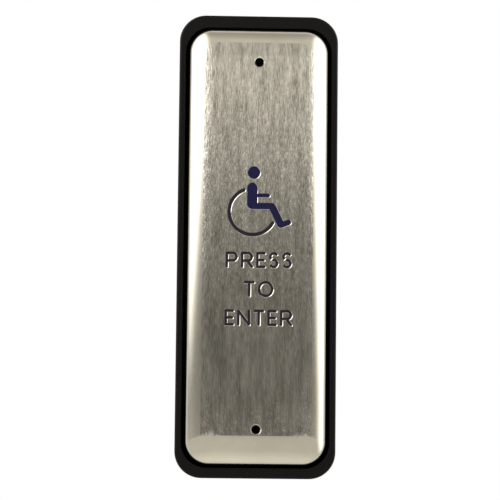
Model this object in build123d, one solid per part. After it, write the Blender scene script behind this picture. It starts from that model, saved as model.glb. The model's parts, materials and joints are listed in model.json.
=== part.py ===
from build123d import *

import math
import os

# A wall-mounted push plate that works an automatic door opener: a pillowed stainless plate,
# with a pictogram and a legend let into it, slides on two posts in a slim black surface box
# and presses the lever of a subminiature switch.
#
# Frame: the wall is the plane y = 0 and the plate faces -Y. X runs to the right, Z up.
# The origin is on the wall, behind the middle of the plate. Depths are millimetres out
# from the wall, so a depth t lies at y = -t.

# ---------------------------------------------------------------- driving dimensions
PLATE_W = 38.8          # nominally 1 1/2 in wide
PLATE_H = 121.0         # nominally 4 3/4 in high
PLATE_CORNER = 6.5
SHEET = 1.5             # 16 gauge stainless
SHOULDER_RUN = 8.0      # width of the curved edge, seen from the front
SHOULDER_DROP = 4.6     # depth of the curved edge
FACE = 30.0             # front of the plate, out from the wall
PLATE_BACK = 21.5       # rim of the pressed plate
FACE_HOLE_D = 2.4       # passes a 2 mm hexagon key, 2.31 mm over its corners
FACE_HOLE_CHAMFER = 0.3
POST_Z = 50.8           # guide posts and face holes, 4 in apart
TRAVEL = 2.5

BOX_W, BOX_H, BOX_D = 44.3, 128.9, 25.0
BOX_RISE = 0.3          # the top wall is this much thicker, and the bottom wall thinner
BOX_CORNER = 7.4
BOX_FLOOR = 3.0
OPENING_W, OPENING_H, OPENING_CORNER = 40.7, 122.4, 6.9
RIM_ROUND, RIM_INNER_ROUND = 0.6, 0.3
GROOVE_OUT_W, GROOVE_OUT_H, GROOVE_W, GROOVE_D = 40.0, 124.0, 3.0, 1.2
POCKET_X, POCKET_W, POCKET_D = 11.0, 8.4, 1.2
POCKETS = [(-53.5, 7.5), (-31.5, 12.0), (-17.0, 12.0), (0.0, 17.0), (17.0, 12.0), (31.5, 12.0), (53.5, 7.5)]
WALL_SCREW_Z, WALL_SCREW_D = 41.65, 4.5
CABLE_Z, CABLE_D = -22.0, 5.2
GROMMET_NECK_D, GROMMET_FLANGE_D, GROMMET_SEAT_D = 9.4, 12.0, 12.6
WEEP_D = 2.0

BASE_W, BASE_H, BASE_T = 36.0, 116.0, 1.5
BASE_BACK = 5.0                     # underside of the base plate
BASE_TOP = BASE_BACK + BASE_T
BASE_SCREW_X, BASE_SCREW_Z = 13.5, 44.0
BOSS_D, INSERT_D, INSERT_BACK = 6.5, 4.2, 1.4
WINDOW_W, WINDOW_LOW, WINDOW_HIGH = 16.0, -31.0, 10.5
ACCESS_D = 10.0

POST_D, POST_TOP, POST_SPIGOT_D = 5.0, 21.3, 4.0
RUNNING_FIT = 0.05                  # radial gap of a sliding fit
FITTED = 0.02                       # radial gap of a fixed fit
STOP_T, STOP_D = 1.0, 8.0
SLEEVE_BACK, SLEEVE_FRONT, SLEEVE_D = 14.2, 20.2, 7.6
FLANGE_D, FLANGE_T = 9.6, 1.0
SPRING_WIRE, SPRING_D, SPRING_TURNS = 0.7, 8.0, 4.5

WEB_BACK = 26.5
CARRIER_INSET = SHEET + 0.1
CARRIER_WALL, CARRIER_BACK = 1.6, 20.0
CARRIER_BOSS_D, COUNTERBORE_D = 11.6, 10.0
BUMPER_X, BUMPER_Z, BUMPER_D, BUMPER_T = 12.0, 28.0, 7.0, 3.5
STUD_X, STUD_Z, STUD_D, STUD_BACK = 7.5, 37.0, 3.0, 23.2
RIB_X, RIB_T, RIB_BACK = 3.2, 1.2, 24.6

SWITCH_L, SWITCH_W = 20.0, 6.4      # along Z and along X
SWITCH_BACK, SWITCH_FRONT = 8.2, 18.4
COVER_T = 1.0
HOLLOW_BACK, HOLLOW_FRONT = 12.2, 17.2
HOLLOW_LOW, HOLLOW_HIGH, HOLLOW_X = -9.2, 8.8, 2.2
FIXING_Z, FIXING_T = 4.75, 10.2     # the switch's two fixing screws
TERMINAL_BACK, TERMINAL_W, TERMINAL_T = 4.3, 2.4, 0.5
BLADE_T, BLADE_BACK = 0.3, 15.2
BLADE_PIVOT_Z = 7.5
CONTACT_Z = -7.2
PLUNGER_Z, PLUNGER_D, PLUNGER_BACK, PLUNGER_FRONT = -3.5, 2.0, 15.55, 19.75
LEVER_Z, LEVER_T = -8.0, 19.2       # the lever's pin
LEVER_SHEET, LEVER_W = 0.4, 4.0
LEVER_REACH = 13.0                  # pin to striker
LEVER_ANGLE = 10.4                  # degrees out from flat, at rest
PIN_D = 1.0
STRIKER_Z, STRIKER_TIP = LEVER_Z + LEVER_REACH, 22.0
BRACKET_X, BRACKET_T, BRACKET_REACH = SWITCH_W / 2, 1.2, 15.0
BRACKET_SCREW_X, BRACKET_SCREW_Z = 11.5, 5.0

INLAY_D, INLAY_FILL = 0.35, 0.2     # depth of the engraving and of the paint in it
INLAY_EASE = 0.02
CAP_HEIGHT, LETTER_STROKE, LETTER_GAP = 4.43, 0.68, 0.87
MARKS_X, MARKS_Z = 0.4, -0.5        # the engraving stands a little right of the middle and low
LEGEND = [("PRESS", -6.1), ("TO", -14.1), ("ENTER", -22.0)]


# ---------------------------------------------------------------- small helpers
def front(t):
    """The plane at depth t that faces away from the wall, with Z up."""
    return Plane.XZ.offset(t)


def slab(sketch, t0, t1):
    """A front-view outline made solid from depth t0 to t1."""
    return extrude(front(t0) * sketch, amount=t1 - t0)


def rod(d, t0, t1, x=0.0, z=0.0):
    return slab(Pos(x, z) * Circle(d / 2), t0, t1)


def tube(d_out, d_in, t0, t1, x=0.0, z=0.0):
    return slab(Pos(x, z) * (Circle(d_out / 2) - Circle(d_in / 2)), t0, t1)


def block(x0, x1, t0, t1, z0, z1):
    return Pos((x0 + x1) / 2, -(t0 + t1) / 2, (z0 + z1) / 2) * Box(x1 - x0, t1 - t0, z1 - z0)


def cross_rod(d, x0, x1, t, z):
    """A round bar along X."""
    return extrude(Plane.YZ.offset(x0) * (Pos(-t, z) * Circle(d / 2)), amount=x1 - x0)


def rounded(w, h, r):
    return RectangleRounded(w, h, r)


def group(items):
    return Compound(children=list(items))


def pan_screw(shank_d, head_d, head_t, seat, tip, x, z):
    """A pan-head screw driven towards the wall: head from seat outwards, shank to tip."""
    head = rod(head_d, seat, seat + head_t, x, z)
    crown = head.edges().group_by(Axis.Y)[0]
    head = fillet(crown, head_t * 0.45)
    recess = slab(Pos(x, z) * (Rectangle(head_d * 0.5, 0.6) + Rectangle(0.6, head_d * 0.5)),
                  seat + head_t * 0.45, seat + head_t + 1)
    return head + rod(shank_d, tip, seat, x, z) - recess


def hex_nut(across, t0, t1, bore_d, x, z):
    return slab(Pos(x, z) * (RegularPolygon(across / 2, 6, major_radius=False) - Circle(bore_d / 2)), t0, t1)


# ---------------------------------------------------------------- pillowed plate shape
def pillow(inset, run, drop, back):
    """A solid with the plate's outline drawn in by inset, and a front edge that rolls over
    in a quarter ellipse, run wide and drop deep, centred on one line whatever the inset."""
    spring_line = FACE - SHOULDER_DROP
    steps = 7
    sections = []
    for i in range(steps + 1):
        angle = math.pi / 2 * i / steps
        d = SHOULDER_RUN - run * math.cos(angle)
        t = spring_line + drop * math.sin(angle)
        corner = PLATE_CORNER - d * 0.69
        sections.append(front(t) * rounded(PLATE_W - 2 * d, PLATE_H - 2 * d, corner))
    skirt_corner = PLATE_CORNER - inset * 0.69
    skirt = slab(rounded(PLATE_W - 2 * inset, PLATE_H - 2 * inset, skirt_corner), back, spring_line)
    return skirt + loft(sections, ruled=True)


# ---------------------------------------------------------------- pictogram and legend
def bar(p, q, w):
    """A straight stroke with round ends."""
    dx, dz = q[0] - p[0], q[1] - p[1]
    turn = math.degrees(math.atan2(dz, dx))
    middle = Pos((p[0] + q[0]) / 2, (p[1] + q[1]) / 2)
    return middle * Rot(0, 0, turn) * SlotCenterToCenter(math.hypot(dx, dz), w)


def bow(centre, r, start, sweep, w):
    """A curved stroke with round ends."""
    return SlotArc(CenterArc(centre, r, start, sweep), w)


def pictogram(ease):
    """A person sitting in a wheelchair, seen from the side and facing right."""
    head = Pos(-1.6, 20.3) * Circle(1.72 - ease)
    torso = bar((-2.0, 16.1), (-2.0, 11.6), 2.8 - 2 * ease)
    thigh = bar((-2.0, 11.05), (3.5, 11.05), 1.7 - 2 * ease)
    shin = bar((3.6, 10.7), (5.9, 6.1), 2.0 - 2 * ease)
    foot = bar((6.3, 6.0), (8.0, 6.6), 1.5 - 2 * ease)
    arm = bar((-1.6, 14.0), (2.4, 14.0), 1.0 - 2 * ease)
    wheel = bow((-1.95, 9.5), 6.4, 112, 219, 0.95 - 2 * ease)
    return Pos(MARKS_X, MARKS_Z) * (head + torso + thigh + shin + foot + arm + wheel)


def letter(name, w):
    """One capital as (strokes, width along its centre lines), its foot line at z = 0."""
    h = CAP_HEIGHT - LETTER_STROKE
    bowl = 1.05
    quarter = h / 4
    stem = bar((0, 0), (0, h), w)
    if name in "PR":
        out = 1.6
        shape = (stem + bar((0, h), (out, h), w) + bar((0, h - 2 * bowl), (out, h - 2 * bowl), w)
                 + bow((out, h - bowl), bowl, -90, 180, w))
        if name == "R":
            shape += bar((1.4, h - 2 * bowl), (2.7, 0), w)
        return shape, out + bowl
    if name == "E":
        return stem + bar((0, 0), (1.9, 0), w) + bar((0, h / 2), (1.7, h / 2), w) + bar((0, h), (1.9, h), w), 1.9
    if name == "S":
        return (bow((1.05, h - quarter), quarter, 35, 235, w)
                + bow((1.05, quarter), quarter, -145, 235, w)), 2.1
    if name == "T":
        return bar((0, h), (2.3, h), w) + bar((1.15, 0), (1.15, h), w), 2.3
    if name == "O":
        across = 3.6
        middle = Pos(across / 2, h / 2)
        return middle * (Ellipse(across / 2 + w / 2, h / 2 + w / 2)
                         - Ellipse(across / 2 - w / 2, h / 2 - w / 2)), across
    return stem + bar((0, h), (2.9, 0), w) + bar((2.9, 0), (2.9, h), w), 2.9      # N


def legend(ease):
    w = LETTER_STROKE - 2 * ease
    marks = []
    for word, foot in LEGEND:
        letters = [letter(name, w) for name in word]
        length = sum(width for _, width in letters) + (LETTER_STROKE + LETTER_GAP) * (len(word) - 1)
        x = MARKS_X - length / 2
        for shape, width in letters:
            marks.append(Pos(x, foot + MARKS_Z + LETTER_STROKE / 2) * shape)
            x += width + LETTER_STROKE + LETTER_GAP
    return marks


# ---------------------------------------------------------------- face
def face_plate():
    plate = pillow(0, SHOULDER_RUN, SHOULDER_DROP, PLATE_BACK)
    plate -= pillow(SHEET, SHOULDER_RUN - SHEET, SHOULDER_DROP - SHEET, PLATE_BACK - 1)
    for z in (-POST_Z, POST_Z):
        plate -= rod(FACE_HOLE_D, FACE - SHEET - 1, FACE + 1, 0, z)
        plate -= front(FACE - FACE_HOLE_CHAMFER / 2) * Pos(0, z) * Cone(
            FACE_HOLE_D / 2, FACE_HOLE_D / 2 + FACE_HOLE_CHAMFER, FACE_HOLE_CHAMFER)
    plate -= slab(pictogram(0), FACE - INLAY_D, FACE + 1)
    for mark in legend(0):
        plate -= slab(mark, FACE - INLAY_D, FACE + 1)
    return plate


def pictogram_fill():
    return slab(pictogram(INLAY_EASE), FACE - INLAY_D, FACE - INLAY_D + INLAY_FILL)


def legend_fill():
    return group(slab(mark, FACE - INLAY_D, FACE - INLAY_D + INLAY_FILL) for mark in legend(INLAY_EASE))


def stud_places():
    return [(x, z) for x in (-STUD_X, STUD_X) for z in (-STUD_Z, STUD_Z)]


def push_carrier():
    """The moulded tray behind the plate, with its guide sleeves, stops and striker boss."""
    inner = CARRIER_INSET + CARRIER_WALL
    body = pillow(CARRIER_INSET, SHOULDER_RUN - CARRIER_INSET, SHOULDER_DROP - CARRIER_INSET, CARRIER_BACK)
    body -= slab(rounded(PLATE_W - 2 * inner, PLATE_H - 2 * inner, 3.4), CARRIER_BACK - 1, WEB_BACK)
    for x in (-RIB_X, RIB_X):
        body += block(x - RIB_T / 2, x + RIB_T / 2, RIB_BACK, WEB_BACK + 0.2, -46, 46)
    half = PLATE_W / 2 - inner + 0.2
    for z in (-BUMPER_Z, BUMPER_Z):
        body += block(-half, half, RIB_BACK, WEB_BACK + 0.2, z - RIB_T / 2, z + RIB_T / 2)
        for x in (-BUMPER_X, BUMPER_X):
            stop = BASE_TOP + BUMPER_T + TRAVEL + 0.1
            body += rod(BUMPER_D, stop, WEB_BACK + 0.2, x, z)
    body += rod(7.0, 24.5, WEB_BACK + 0.2, 0, STRIKER_Z)
    body -= rod(STUD_D + 2 * FITTED, 24.0, 27.8, 0, STRIKER_Z)
    for z in (-POST_Z, POST_Z):
        body += rod(CARRIER_BOSS_D, SLEEVE_BACK, WEB_BACK + 0.2, 0, z)
        body -= rod(SLEEVE_D + 2 * FITTED, SLEEVE_BACK - 1, SLEEVE_FRONT + 0.1, 0, z)
        body -= rod(COUNTERBORE_D, SLEEVE_FRONT, FACE, 0, z)
    for x, z in stud_places():
        body += rod(6.6, WEB_BACK, FACE - SHEET, x, z)
        body -= rod(STUD_D + 0.4, WEB_BACK - 1, FACE, x, z)
    return body


def guide_bushes():
    bushes = []
    for z in (-POST_Z, POST_Z):
        bush = rod(SLEEVE_D, SLEEVE_BACK, SLEEVE_FRONT, 0, z)
        bush += rod(FLANGE_D, SLEEVE_FRONT, SLEEVE_FRONT + FLANGE_T, 0, z)
        bushes.append(bush - rod(POST_D + 2 * RUNNING_FIT, SLEEVE_BACK - 1, FACE, 0, z))
    return group(bushes)


def plate_studs():
    return group(rod(STUD_D, STUD_BACK, FACE - SHEET, x, z) for x, z in stud_places())


def stud_washers():
    return group(tube(7.0, 3.2, WEB_BACK - 0.5, WEB_BACK, x, z) for x, z in stud_places())


def stud_nuts():
    return group(hex_nut(5.5, WEB_BACK - 2.9, WEB_BACK - 0.5, STUD_D + 2 * FITTED, x, z) for x, z in stud_places())


def striker_screw():
    """A dog-point set screw that sets where the lever is struck."""
    shank = rod(STUD_D, STRIKER_TIP + 0.5, 27.6, 0, STRIKER_Z)
    shank = chamfer(shank.edges().group_by(Axis.Y)[-1], 0.3)
    return shank + rod(1.4, STRIKER_TIP, STRIKER_TIP + 0.6, 0, STRIKER_Z)


def striker_locknut():
    return hex_nut(5.5, 22.7, 24.5, STUD_D + 2 * FITTED, 0, STRIKER_Z)


# ---------------------------------------------------------------- surface box and its fittings
def base_screw_places():
    return [(x, z) for x in (-BASE_SCREW_X, BASE_SCREW_X) for z in (-BASE_SCREW_Z, BASE_SCREW_Z)]


def surface_box():
    """The wall-side moulding: an open box with a rim round the plate and bosses on its floor."""
    box = slab(Pos(0, BOX_RISE) * rounded(BOX_W, BOX_H, BOX_CORNER), 0, BOX_D)
    box = fillet(box.edges().group_by(Axis.Y)[0], RIM_ROUND)
    box -= slab(rounded(OPENING_W, OPENING_H, OPENING_CORNER), BOX_FLOOR, BOX_D + 1)
    mouth = [e for e in box.edges().group_by(Axis.Y)[0]
             if abs(e.center().X) < OPENING_W / 2 + 0.1 and abs(e.center().Z) < OPENING_H / 2 + 0.1]
    box = fillet(mouth, RIM_INNER_ROUND)
    inner_w, inner_h = GROOVE_OUT_W - 2 * GROOVE_W, GROOVE_OUT_H - 2 * GROOVE_W
    groove = rounded(GROOVE_OUT_W, GROOVE_OUT_H, 5.4) - rounded(inner_w, inner_h, 2.4)
    box -= slab(groove, -1, GROOVE_D)
    for x in (-POCKET_X, POCKET_X):
        for z, h in POCKETS:
            box -= slab(Pos(x, z) * rounded(POCKET_W, h, 1.0), -1, POCKET_D)
    for x, z in base_screw_places():
        box += rod(BOSS_D, BOX_FLOOR - 0.2, BASE_BACK, x, z)
        box -= rod(INSERT_D + 2 * FITTED, INSERT_BACK, BASE_BACK + 1, x, z)
    for z in (-WALL_SCREW_Z, WALL_SCREW_Z):
        box -= rod(WALL_SCREW_D, -1, BOX_FLOOR + 1, 0, z)
    box -= rod(GROMMET_NECK_D, -1, BOX_FLOOR + 1, 0, CABLE_Z)
    box -= rod(GROMMET_SEAT_D, -1, GROOVE_D, 0, CABLE_Z)
    weep = extrude(Plane.XY.offset(-BOX_H / 2 - 1) * (Pos(0, -8.0) * Circle(WEEP_D / 2)), amount=6)
    return box - weep


def wall_gasket():
    ease = FITTED
    outer = rounded(GROOVE_OUT_W - 2 * ease, GROOVE_OUT_H - 2 * ease, 5.4 - ease)
    inner = rounded(GROOVE_OUT_W - 2 * (GROOVE_W - ease), GROOVE_OUT_H - 2 * (GROOVE_W - ease), 2.4 + ease)
    return slab(outer - inner, 0, GROOVE_D)


def cable_grommet():
    body = rod(GROMMET_FLANGE_D, 0.2, GROOVE_D, 0, CABLE_Z)
    body += rod(GROMMET_NECK_D - 2 * FITTED, 0.2, BOX_FLOOR + 1.2, 0, CABLE_Z)
    lip = rod(GROMMET_FLANGE_D, BOX_FLOOR, BOX_FLOOR + 1.2, 0, CABLE_Z)
    lip = fillet(lip.edges().group_by(Axis.Y)[0], 0.5)
    return body + lip - rod(CABLE_D, -1, BOX_FLOOR + 2, 0, CABLE_Z)


def threaded_inserts():
    return group(tube(INSERT_D, 3.0, INSERT_BACK, BASE_BACK, x, z) for x, z in base_screw_places())


def base_plate():
    sheet = rounded(BASE_W, BASE_H, 3.0)
    window_h = WINDOW_HIGH - WINDOW_LOW
    sheet -= Pos(0, (WINDOW_HIGH + WINDOW_LOW) / 2) * rounded(WINDOW_W, window_h, 2.0)
    for x, z in base_screw_places():
        sheet -= Pos(x, z) * Circle(1.7)
    for z in (-1, 1):
        sheet -= Pos(0, z * POST_Z) * Circle(POST_SPIGOT_D / 2 + FITTED)
        sheet -= Pos(0, z * WALL_SCREW_Z) * Circle(ACCESS_D / 2)
        sheet -= Pos(BRACKET_SCREW_X, z * BRACKET_SCREW_Z) * Circle(1.5 + FITTED)
    return slab(sheet, BASE_BACK, BASE_TOP)


def base_plate_screws():
    return group(pan_screw(2.9, 5.6, 1.8, BASE_TOP, 1.8, x, z) for x, z in base_screw_places())


def guide_posts():
    posts = []
    for z in (-POST_Z, POST_Z):
        post = rod(POST_D, BASE_TOP, POST_TOP, 0, z)
        post += rod(POST_SPIGOT_D, BASE_BACK - 0.6, BASE_TOP, 0, z)
        post += rod(5.5, BASE_BACK - 0.6, BASE_BACK, 0, z)
        posts.append(post - rod(2.5, 12.0, POST_TOP + 1, 0, z))
    return group(posts)


def stop_washers():
    return group(tube(STOP_D, 2.7, POST_TOP, POST_TOP + STOP_T, 0, z) for z in (-POST_Z, POST_Z))


def retaining_screws():
    """Socket-head screws in the post ends, reached with a key through the holes in the plate."""
    seat = POST_TOP + STOP_T
    screws = []
    for z in (-POST_Z, POST_Z):
        head = rod(4.5, seat, seat + 2.5, 0, z)
        head = chamfer(head.edges().group_by(Axis.Y)[0], 0.25)
        socket = slab(Pos(0, z) * RegularPolygon(1.0, 6, major_radius=False), seat + 1.2, seat + 3)
        screws.append(head + rod(2.4, 13.5, seat, 0, z) - socket)
    return group(screws)


def return_spring(z):
    """A compression spring round one guide post, from the base plate to the carrier."""
    low, high = BASE_TOP + SPRING_WIRE / 2, SLEEVE_BACK - SPRING_WIRE / 2
    mean = (SPRING_D - SPRING_WIRE) / 2
    path = Helix(pitch=(high - low) / SPRING_TURNS, height=high - low, radius=mean)
    wire = sweep(Plane(origin=path @ 0, z_dir=path % 0) * Circle(SPRING_WIRE / 2), path=path, is_frenet=True)
    return Pos(0, -low, z) * Rot(90, 0, 0) * wire


def travel_bumpers():
    pads = []
    for x in (-BUMPER_X, BUMPER_X):
        for z in (-BUMPER_Z, BUMPER_Z):
            pad = rod(BUMPER_D, BASE_TOP, BASE_TOP + BUMPER_T, x, z)
            pads.append(fillet(pad.edges().group_by(Axis.Y)[0], 0.8))
    return group(pads)


# ---------------------------------------------------------------- switch
def fixing_holes(d, x0, x1):
    return [cross_rod(d, x0, x1, FIXING_T, z) for z in (-FIXING_Z, FIXING_Z)]


def pin_lug(x0, x1):
    """An ear on top of the switch that carries one end of the lever's pin."""
    ear = cross_rod(2.4, x0, x1, LEVER_T, LEVER_Z)
    ear += block(x0, x1, SWITCH_FRONT - 0.2, LEVER_T, LEVER_Z - 1.2, LEVER_Z + 1.2)
    return ear - cross_rod(PIN_D + 2 * FITTED, x0 - 1, x1 + 1, LEVER_T, LEVER_Z)


def terminal_slots():
    """Slots for the three terminals: common, normally open and normally closed."""
    return [(BLADE_PIVOT_Z, HOLLOW_BACK), (-1.0, HOLLOW_BACK), (-8.85, HOLLOW_BACK)]


def switch_case():
    split = SWITCH_W / 2 - COVER_T
    half = SWITCH_L / 2
    case = block(-SWITCH_W / 2, split, SWITCH_BACK, SWITCH_FRONT, -half, half)
    case -= block(-HOLLOW_X, split + 1, HOLLOW_BACK, HOLLOW_FRONT, HOLLOW_LOW, HOLLOW_HIGH)
    case -= block(-2.5, split + 1, SWITCH_FRONT - 0.5, SWITCH_FRONT + 1, LEVER_Z - 1.3, LEVER_Z + 1.3)
    case -= rod(PLUNGER_D + 2 * RUNNING_FIT, HOLLOW_FRONT - 1, SWITCH_FRONT + 1, 0, PLUNGER_Z)
    grip = TERMINAL_W / 2 + FITTED
    for z, top in terminal_slots():
        case -= block(-grip, grip, SWITCH_BACK - 1, top + 0.1,
                      z - TERMINAL_T / 2 - FITTED, z + TERMINAL_T / 2 + FITTED)
    for hole in fixing_holes(2.2, -SWITCH_W, SWITCH_W):
        case -= hole
    return case + pin_lug(-SWITCH_W / 2, -SWITCH_W / 2 + 0.6)


def switch_cover():
    split, half = SWITCH_W / 2 - COVER_T, SWITCH_L / 2
    cover = block(split, SWITCH_W / 2, SWITCH_BACK, SWITCH_FRONT, -half, half)
    cover -= block(split - 1, 2.5, SWITCH_FRONT - 0.5, SWITCH_FRONT + 1, LEVER_Z - 1.3, LEVER_Z + 1.3)
    for hole in fixing_holes(2.2, 0, SWITCH_W):
        cover -= hole
    return cover + pin_lug(SWITCH_W / 2 - 0.6, SWITCH_W / 2)


def terminal_tail(z, top):
    half = TERMINAL_W / 2
    tail = block(-half, half, TERMINAL_BACK, top, z - TERMINAL_T / 2, z + TERMINAL_T / 2)
    eye = extrude(Plane.XY.offset(z - 1) * (Pos(0, -(TERMINAL_BACK + 1.3)) * Circle(0.5)), amount=2)
    return tail - eye


def common_terminal():
    return terminal_tail(BLADE_PIVOT_Z, BLADE_BACK - 0.1)


def normally_open_terminal():
    half = TERMINAL_W / 2
    body = terminal_tail(-1.0, HOLLOW_BACK + TERMINAL_T)
    body += block(-half, half, HOLLOW_BACK, HOLLOW_BACK + TERMINAL_T, -8.0, -1.0)
    return body + rod(1.6, HOLLOW_BACK + TERMINAL_T, 13.6, 0, CONTACT_Z)


def normally_closed_terminal():
    half, top = TERMINAL_W / 2, 16.35
    return terminal_tail(-8.85, top) + block(-half, half, top - TERMINAL_T, top, -8.85, -6.2)


def contact_blade():
    blade = block(-1.0, 1.0, BLADE_BACK, BLADE_BACK + BLADE_T, -8.2, 8.1)
    return blade - rod(1.0, BLADE_BACK - 1, BLADE_BACK + 1, 0, CONTACT_Z)


def moving_contact():
    rivet = rod(0.96, 14.9, 15.8, 0, CONTACT_Z)
    rivet += rod(1.6, 14.9, BLADE_BACK, 0, CONTACT_Z)
    return rivet + rod(1.6, BLADE_BACK + BLADE_T, 15.8, 0, CONTACT_Z)


def switch_plunger():
    stem = rod(PLUNGER_D, PLUNGER_BACK, PLUNGER_FRONT, 0, PLUNGER_Z)
    stem = fillet(stem.edges().group_by(Axis.Y)[0], 0.9)
    stem = fillet(stem.edges().group_by(Axis.Y)[-1], 0.5)
    return stem + rod(3.0, 15.9, 16.9, 0, PLUNGER_Z)


def switch_lever():
    """A sheet lever drawn flat with its pin at the origin and tipped out to its rest angle."""
    half, sheet = LEVER_W / 2, LEVER_SHEET
    arm = block(-half, half, -sheet / 2, sheet / 2, 1.2, 15.0)
    for x in (-half - 0.35, half - 0.05):
        arm += block(x, x + 0.4, -0.5, 0.5, 0.0, 3.2)
        arm += cross_rod(2.0, x, x + 0.4, 0, 0)
    arm -= cross_rod(PIN_D + 2 * RUNNING_FIT, -3, 3, 0, 0)
    return Pos(0, -LEVER_T, LEVER_Z) * Rot(LEVER_ANGLE, 0, 0) * arm


def lever_pin():
    return cross_rod(PIN_D, -SWITCH_W / 2 - 0.2, SWITCH_W / 2 + 0.2, LEVER_T, LEVER_Z)


def switch_screws():
    screws = []
    for z in (-FIXING_Z, FIXING_Z):
        head = cross_rod(3.8, -SWITCH_W / 2 - 1.6, -SWITCH_W / 2, FIXING_T, z)
        head = fillet(head.edges().group_by(Axis.X)[0], 0.5)
        slot = block(-6, -SWITCH_W / 2 - 0.9, FIXING_T - 2, FIXING_T + 2, z - 0.25, z + 0.25)
        screws.append(head + cross_rod(2.0, -SWITCH_W / 2, BRACKET_X + BRACKET_T + 2.0, FIXING_T, z) - slot)
    return group(screws)


def switch_nuts():
    nuts = []
    x = BRACKET_X + BRACKET_T
    for z in (-FIXING_Z, FIXING_Z):
        outline = Pos(-FIXING_T, z) * (RegularPolygon(2.0, 6, major_radius=False) - Circle(1.0 + FITTED))
        nuts.append(extrude(Plane.YZ.offset(x) * outline, amount=1.6))
    return group(nuts)


def switch_bracket():
    tab = block(BRACKET_X, BRACKET_X + BRACKET_T, BASE_TOP, 17.0, -9.0, 9.0)
    for hole in fixing_holes(2.2, 0, SWITCH_W):
        tab -= hole
    foot = block(BRACKET_X, BRACKET_REACH, BASE_TOP, BASE_TOP + BRACKET_T, -8.0, 8.0)
    for z in (-BRACKET_SCREW_Z, BRACKET_SCREW_Z):
        foot -= rod(3.2, BASE_TOP - 1, BASE_TOP + 2, BRACKET_SCREW_X, z)
    return tab + foot


def bracket_screws():
    seat = BASE_TOP + BRACKET_T
    return group(pan_screw(3.0, 5.6, 1.8, seat, 4.2, BRACKET_SCREW_X, z)
                 for z in (-BRACKET_SCREW_Z, BRACKET_SCREW_Z))


# ---------------------------------------------------------------- write one file per piece
PIECES = [
    surface_box, wall_gasket, cable_grommet, threaded_inserts, base_plate, base_plate_screws,
    guide_posts, stop_washers, retaining_screws, travel_bumpers,
    face_plate, pictogram_fill, legend_fill, push_carrier, guide_bushes,
    plate_studs, stud_washers, stud_nuts, striker_screw, striker_locknut,
    switch_case, switch_cover, common_terminal, normally_open_terminal, normally_closed_terminal,
    contact_blade, moving_contact, switch_plunger, switch_lever, lever_pin,
    switch_screws, switch_nuts, switch_bracket, bracket_screws,
]

os.makedirs("parts", exist_ok=True)
for piece in PIECES:
    export_step(piece(), f"parts/{piece.__name__}.step")
for name, z in (("upper_return_spring", POST_Z), ("lower_return_spring", -POST_Z)):
    export_step(return_spring(z), f"parts/{name}.step")
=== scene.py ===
"""Looks of a wall-mounted push plate for a door opener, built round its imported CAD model.

The wall is the plane y = 0 and the plate faces -Y. X runs to the right and Z up. Sizes in
the classes are millimetres, and a depth is the distance out from the wall. Meshes are in
metres, each with its place in its vertices.
"""

import json
import logging
import math
from collections.abc import Callable, Iterable, Iterator, Sequence
from contextlib import contextmanager
from dataclasses import dataclass, field
from enum import Enum

import bmesh
import bpy
from mathutils import Matrix, Vector


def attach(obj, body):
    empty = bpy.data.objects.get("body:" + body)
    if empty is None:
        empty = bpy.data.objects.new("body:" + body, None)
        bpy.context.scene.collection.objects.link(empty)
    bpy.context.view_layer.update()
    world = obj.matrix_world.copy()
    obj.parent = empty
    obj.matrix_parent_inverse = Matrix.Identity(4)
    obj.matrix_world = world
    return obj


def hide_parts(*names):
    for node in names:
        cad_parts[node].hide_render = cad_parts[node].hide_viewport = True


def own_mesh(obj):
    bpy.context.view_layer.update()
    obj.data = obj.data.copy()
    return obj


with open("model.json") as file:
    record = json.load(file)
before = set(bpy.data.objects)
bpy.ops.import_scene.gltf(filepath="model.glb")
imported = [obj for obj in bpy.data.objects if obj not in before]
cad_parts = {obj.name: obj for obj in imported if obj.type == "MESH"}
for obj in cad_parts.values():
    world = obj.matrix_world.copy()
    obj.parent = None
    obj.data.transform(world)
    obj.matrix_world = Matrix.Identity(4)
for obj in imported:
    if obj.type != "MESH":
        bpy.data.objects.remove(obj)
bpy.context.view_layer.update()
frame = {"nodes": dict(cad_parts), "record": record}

log = logging.getLogger("push_plate")

MM = 0.001
SAME_DEPTH = 2e-6
POST_Z = 50.8
NOISE_LOW, NOISE_HIGH = 0.3, 0.7
COAT_ROUGHNESS = 0.15
Colour = tuple[float, float, float, float]
Point = tuple[float, float]


# ---------------------------------------------------------------- nodes and colours
def linear(code: str) -> Colour:
    """Turns an sRGB hex colour to linear light.

    Args:
        code: Six hex digits, such as "C8C2B4".

    Returns:
        Red, green, blue and an alpha of 1.
    """
    parts = [int(code[i:i + 2], 16) / 255 for i in (0, 2, 4)]
    red, green, blue = (c / 12.92 if c <= 0.04045 else ((c + 0.055) / 1.055) ** 2.4 for c in parts)
    return (red, green, blue, 1.0)


def add_node(tree: bpy.types.NodeTree, kind: str, inputs: dict | None = None,
             stops: Sequence[tuple[float, Colour]] = (), **settings) -> bpy.types.Node:
    """Adds one shader node with its settings, values and links.

    Args:
        tree: The node tree that gets it.
        kind: The node's type name.
        inputs: Socket name or number to a value, or to the output socket to link.
        stops: Position and colour of each stop, for a colour ramp.
        **settings: The node's own properties.

    Returns:
        The new node.
    """
    node = tree.nodes.new(kind)
    for name, value in settings.items():
        setattr(node, name, value)
    for name, value in (inputs or {}).items():
        if isinstance(value, bpy.types.NodeSocket):
            tree.links.new(value, node.inputs[name])
        else:
            node.inputs[name].default_value = value
    for i, (position, colour) in enumerate(stops):
        ramp = node.color_ramp.elements
        stop = ramp[i] if i < 2 else ramp.new(position)
        stop.position = position
        stop.color = colour
    return node


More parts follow.
